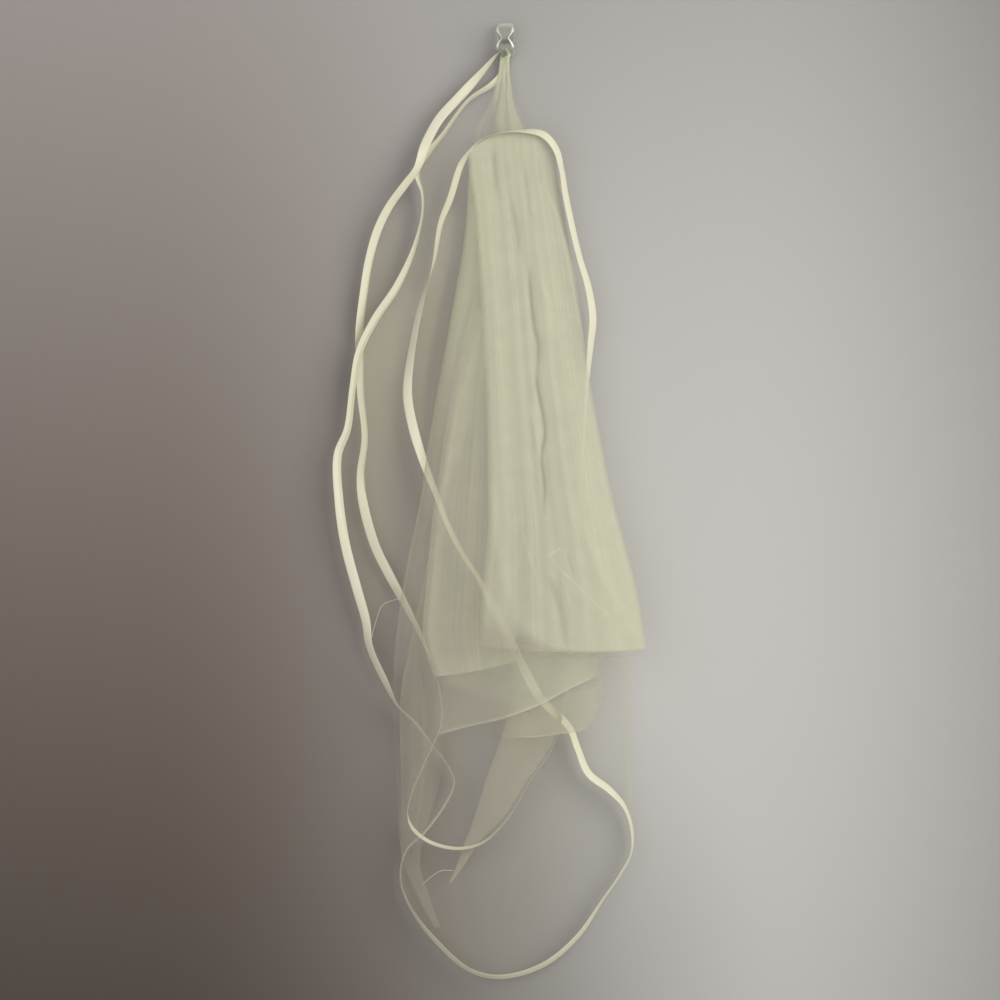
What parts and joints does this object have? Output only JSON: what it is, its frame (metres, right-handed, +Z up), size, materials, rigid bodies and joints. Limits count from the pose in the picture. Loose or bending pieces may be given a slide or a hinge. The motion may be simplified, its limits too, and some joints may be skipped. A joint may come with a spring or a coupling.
{
  "type": "bridal veil on a wall hook",
  "caption": "Sheer ivory tulle bridal veil in two tiers with a satin ribbon edge, hanging gathered in long soft pleats from a small clear wall hook.",
  "frame": {"origin": "centre line of the hook's flat back face, where it sticks to the wall, level with the middle of the hook", "axes": "+Y into the wall, +Z up, +X to the right as seen from the room"},
  "size_m": [0.2906, 0.0675, 0.8965],
  "materials": {
    "tulle": "soft ivory nylon tulle, a fine matt net, sheer in one layer and dense where pleats lie over each other",
    "satin_ribbon": "double-faced ivory satin ribbon with a soft sheen and woven edges",
    "clear_plastic": "clear moulded plastic, glossy, with rounded edges"
  },
  "bodies": {
    "root": {"tulle_neck": "tulle", "tulle_front_tier": "tulle", "tulle_middle_fold": "tulle", "tulle_side_fold": "tulle", "tulle_tail": "tulle", "tulle_swag": "tulle", "tulle_corner": "tulle", "tulle_long_tier": "tulle", "tulle_long_left": "tulle", "tulle_long_right": "tulle", "tulle_short_left": "tulle", "ribbon_short_left": "satin_ribbon", "ribbon_short_hem": "satin_ribbon", "ribbon_short_right": "satin_ribbon", "ribbon_arch": "satin_ribbon", "ribbon_long_right": "satin_ribbon", "ribbon_long_hem": "satin_ribbon", "ribbon_long_left": "satin_ribbon", "wall_hook": "clear_plastic"}
  },
  "joints": []
}
